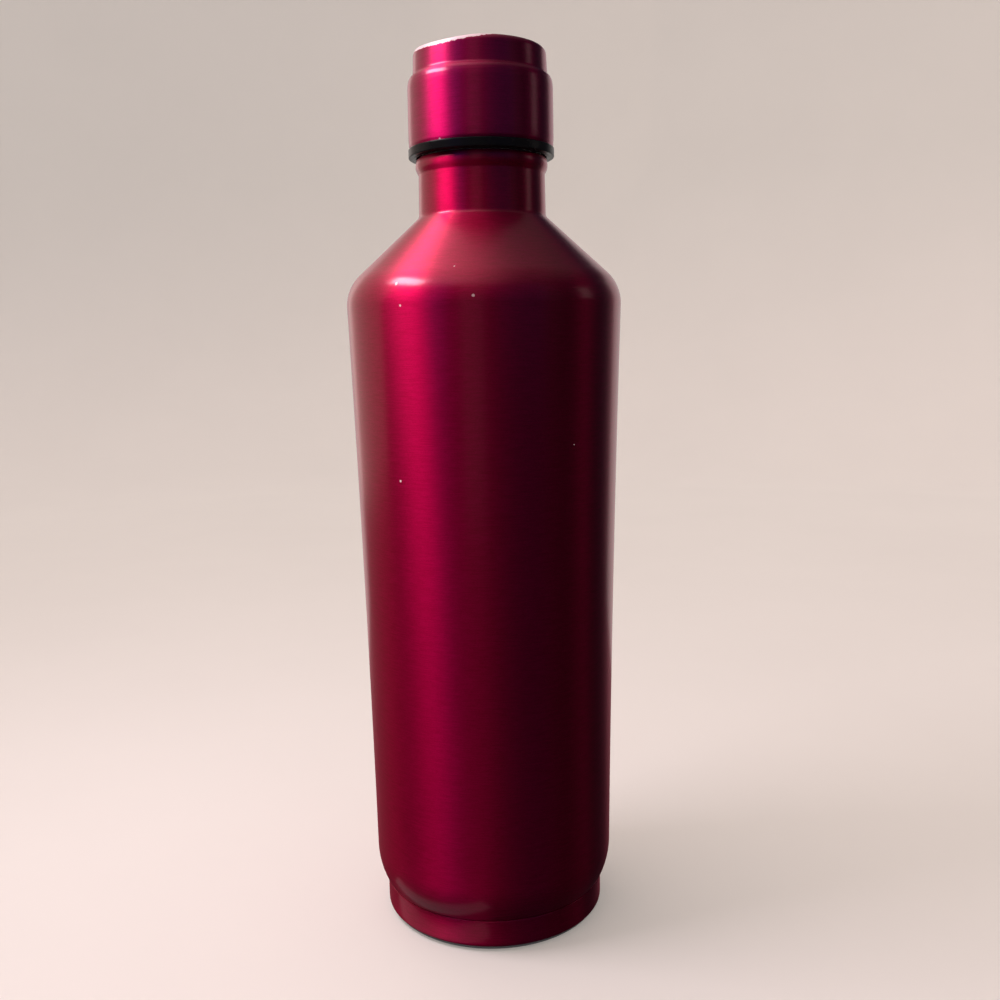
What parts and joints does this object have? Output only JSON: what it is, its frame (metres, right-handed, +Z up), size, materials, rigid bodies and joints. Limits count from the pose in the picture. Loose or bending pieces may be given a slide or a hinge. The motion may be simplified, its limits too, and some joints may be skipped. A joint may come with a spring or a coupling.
{
  "type": "insulated water bottle",
  "caption": "Double-walled steel water bottle with sloping shoulder, narrow neck, lacquered body and a threaded steel screw cap with a black plastic ring.",
  "frame": {"origin": "centre of the non-slip pad's underside, on the surface that the bottle stands on", "axes": "+Z up along the bottle's axis, towards the cap; -Y faces the viewer"},
  "size_m": [0.09, 0.09, 0.2885],
  "materials": {
    "lacquered_steel": "translucent crimson lacquer over horizontally brushed steel, satin clear coat, small chips",
    "bare_steel": "spun and polished stainless steel",
    "copper_foil": "thin bright copper foil",
    "getter_alloy": "sintered grey metal powder",
    "seal_glass": "melted glass bead",
    "adhesive": "cured adhesive",
    "black_rubber": "matt moulded rubber",
    "black_plastic": "moulded black polypropylene, semi-gloss",
    "white_plastic": "moulded natural polypropylene",
    "foam": "rigid cream foam",
    "silicone": "translucent grey-white silicone"
  },
  "bodies": {
    "bottle": {"outer_shell": "lacquered_steel", "inner_liner": "bare_steel", "mouth_collar": "bare_steel", "liner_bottom": "bare_steel", "copper_foil": "copper_foil", "getter_pill": "getter_alloy", "getter_strap": "bare_steel", "outer_base": "lacquered_steel", "exhaust_bead": "seal_glass", "base_cover": "bare_steel", "base_adhesive": "adhesive", "non_slip_pad": "black_rubber"},
    "seal": {"gasket": "silicone"},
    "cap": {"cap_shell": "lacquered_steel", "cap_core": "black_plastic", "cap_foam": "foam", "cap_bond": "adhesive", "plug_cup": "white_plastic", "plug_foam": "foam", "plug_disc": "bare_steel"}
  },
  "joints": [
    {"name": "cap_rise", "type": "slide", "parent": "bottle", "child": "seal", "axis": [0, 0, 1], "range_m": [0, 0.024]},
    {"name": "cap_turn", "type": "hinge", "parent": "seal", "child": "cap", "pos_m": [0, 0, 0.265], "axis": [0, 0, 1], "range_deg": [0, 1440]}
  ],
  "couplings": [
    {"joint": "cap_rise", "follows": "cap_turn", "m_per_rad": 0.00095492}
  ]
}
